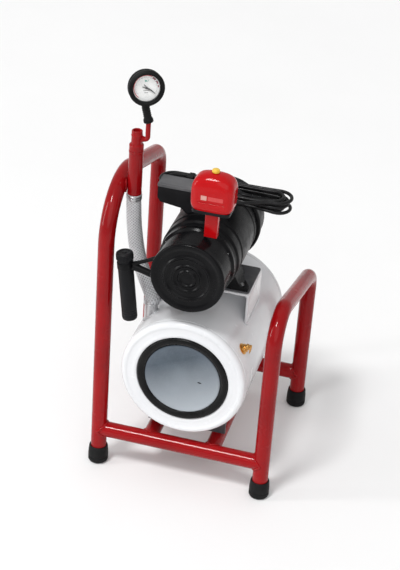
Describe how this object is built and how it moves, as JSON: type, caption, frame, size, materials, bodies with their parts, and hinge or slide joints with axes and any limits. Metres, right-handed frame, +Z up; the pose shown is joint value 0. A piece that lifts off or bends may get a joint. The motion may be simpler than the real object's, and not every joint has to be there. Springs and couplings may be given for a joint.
{
  "type": "air compressor",
  "caption": "Workshop air compressor: motor and rotary pump on a round tank in a tubular frame, with switch, gauge, filter, hose and cord.",
  "frame": {"origin": "on the floor, under the middle of the frame's footprint, without the power cord", "axes": "+Z up; -Y is the front, with the pump's round cover and the tank's sealed end; +X is to the right, seen from the front"},
  "size_m": [0.336, 0.351, 0.7452],
  "materials": {
    "black_paint": "satin",
    "black_plastic": "matte",
    "black_rubber": "matte",
    "blue_grey_cover": "gloss",
    "braid": "satin",
    "brass": "satin",
    "clear_lens": "clear",
    "dial_white": "satin",
    "grey_paint": "satin",
    "lamination_steel": "satin",
    "red_paint": "gloss",
    "red_plastic": "gloss",
    "steel": "satin",
    "white_paint": "gloss",
    "yellow_plastic": "gloss"
  },
  "bodies": {
    "compressor": {"braided_hose": "braid", "cord_gland": "black_plastic", "drain_valve_body": "brass", "end_cover": "blue_grey_cover", "end_seal": "black_rubber", "fan_cowl": "black_paint", "filter_canister": "black_plastic", "filter_cap": "black_plastic", "foot_front_left": "black_rubber", "foot_front_right": "black_rubber", "foot_rear_left": "black_rubber", "foot_rear_right": "black_rubber", "front_bearing": "steel", "front_crossbar": "red_paint", "gauge_boot": "black_rubber", "gauge_dial": "dial_white", "gauge_lens": "clear_lens", "gauge_pipe": "red_paint", "intake_arm": "black_paint", "left_loop": "red_paint", "left_rail": "red_paint", "motor_feet": "black_paint", "motor_saddle": "white_paint", "motor_shell": "black_paint", "mounting_plate": "grey_paint", "power_cord_hank": "black_rubber", "power_cord_lead": "black_rubber", "power_plug": "black_plastic", "pump_front_cover": "black_paint", "pump_housing": "black_paint", "rear_bearing": "steel", "rear_bell": "black_paint", "rear_crossbar": "red_paint", "right_loop": "red_paint", "right_rail": "red_paint", "riser_head": "red_paint", "riser_tube": "red_paint", "safety_valve": "brass", "stator": "lamination_steel", "switch_base": "black_plastic", "switch_cover": "red_plastic", "switch_neck": "red_paint", "tank_cradle_front": "grey_paint", "tank_cradle_rear": "grey_paint", "tank_front_head": "white_paint", "tank_nipple": "steel", "tank_rear_head": "white_paint", "tank_shell": "white_paint", "terminal_box": "black_plastic", "terminal_box_lid": "grey_paint"},
    "rotating_group": {"motor_shaft": "steel", "rotor_core": "lamination_steel", "cooling_fan": "black_plastic", "pump_rotor": "steel", "vane_1": "black_plastic", "vane_2": "black_plastic", "vane_3": "black_plastic"},
    "switch_knob": {"switch_knob": "yellow_plastic"},
    "gauge_needle": {"gauge_needle": "black_paint"},
    "drain_handle": {"drain_valve_handle": "red_plastic"}
  },
  "joints": [
    {"name": "shaft_spin", "type": "hinge", "parent": "compressor", "child": "rotating_group", "pos_m": [0, 0, 0.43], "axis": [0, 1, 0], "continuous": true},
    {"name": "knob_slide", "type": "slide", "parent": "compressor", "child": "switch_knob", "axis": [0, 0, 1], "range_m": [0, 0.004]},
    {"name": "needle_turn", "type": "hinge", "parent": "compressor", "child": "gauge_needle", "pos_m": [-0.1122, -0.0825, 0.7145], "axis": [0.4649, -0.8744, 0.1392], "range_deg": [-10, 260]},
    {"name": "drain_turn", "type": "hinge", "parent": "compressor", "child": "drain_handle", "pos_m": [0, -0.0083, 0.0977], "axis": [0, 1, 0], "range_deg": [0, 90]}
  ]
}
